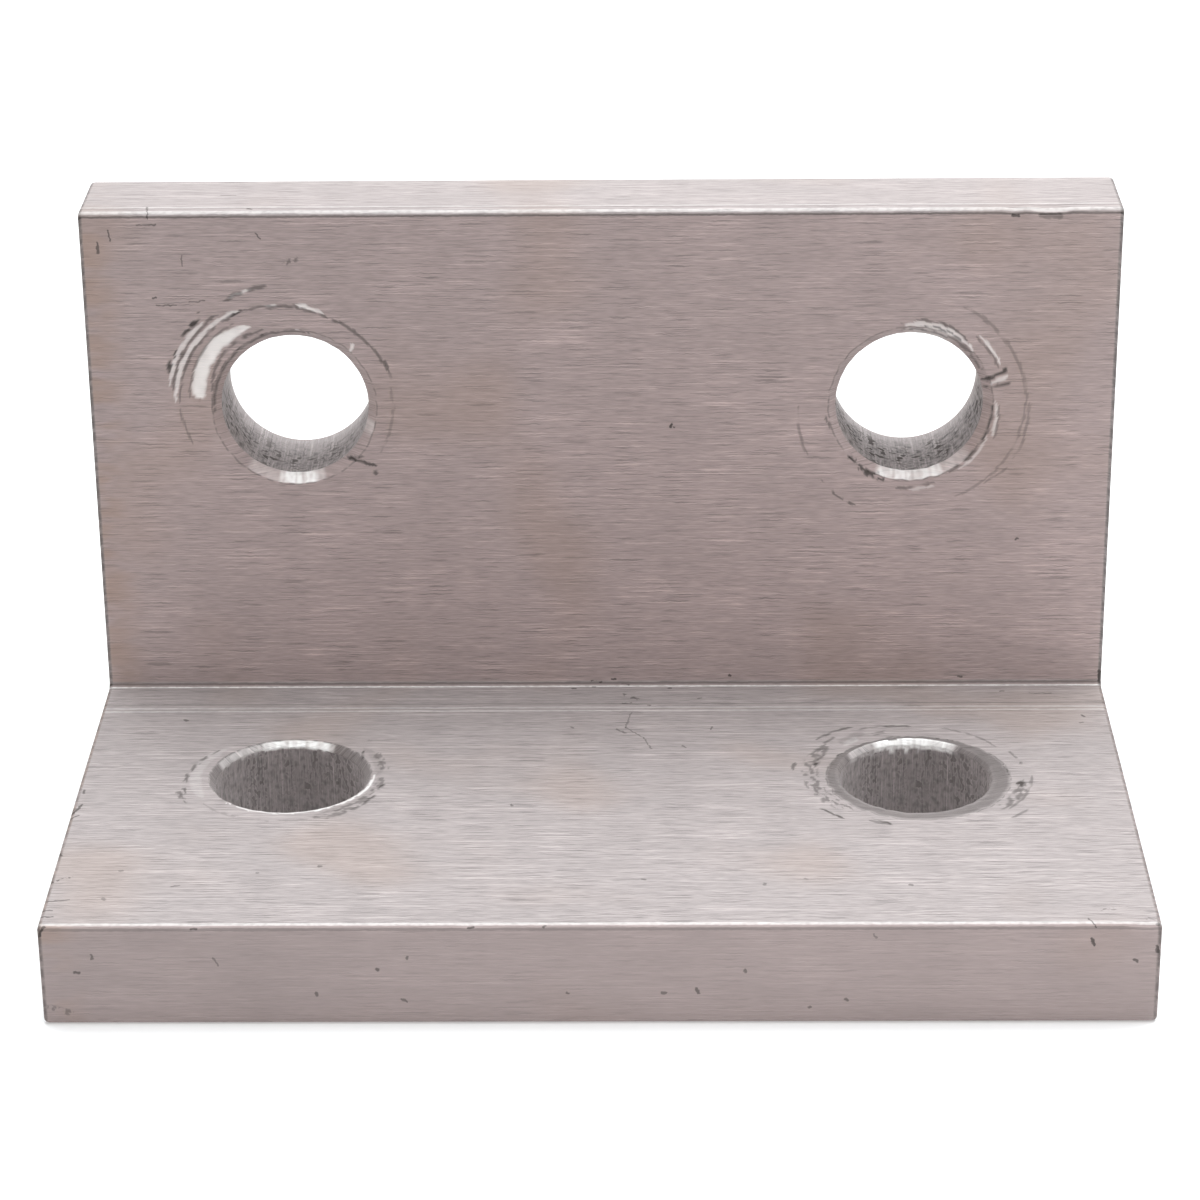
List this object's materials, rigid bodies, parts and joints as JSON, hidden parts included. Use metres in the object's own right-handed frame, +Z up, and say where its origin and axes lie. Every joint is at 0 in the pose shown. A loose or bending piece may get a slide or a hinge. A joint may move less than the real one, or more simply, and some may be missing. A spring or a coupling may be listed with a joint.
{
  "type": "t slot corner bracket",
  "caption": "Inside corner bracket for slotted framing: a short length of thick metal angle with bolt holes through both legs.",
  "frame": {"origin": "middle of the base leg's underside, which is also the middle of its two bolt holes", "axes": "+X along the width, +Y from the base leg's free edge to the upright leg's outer face, +Z up"},
  "size_m": [0.0636, 0.0382, 0.0381],
  "materials": {
    "aluminium": "mill finish, brushed along the width"
  },
  "bodies": {
    "root": {"corner_bracket": "aluminium"}
  },
  "joints": []
}
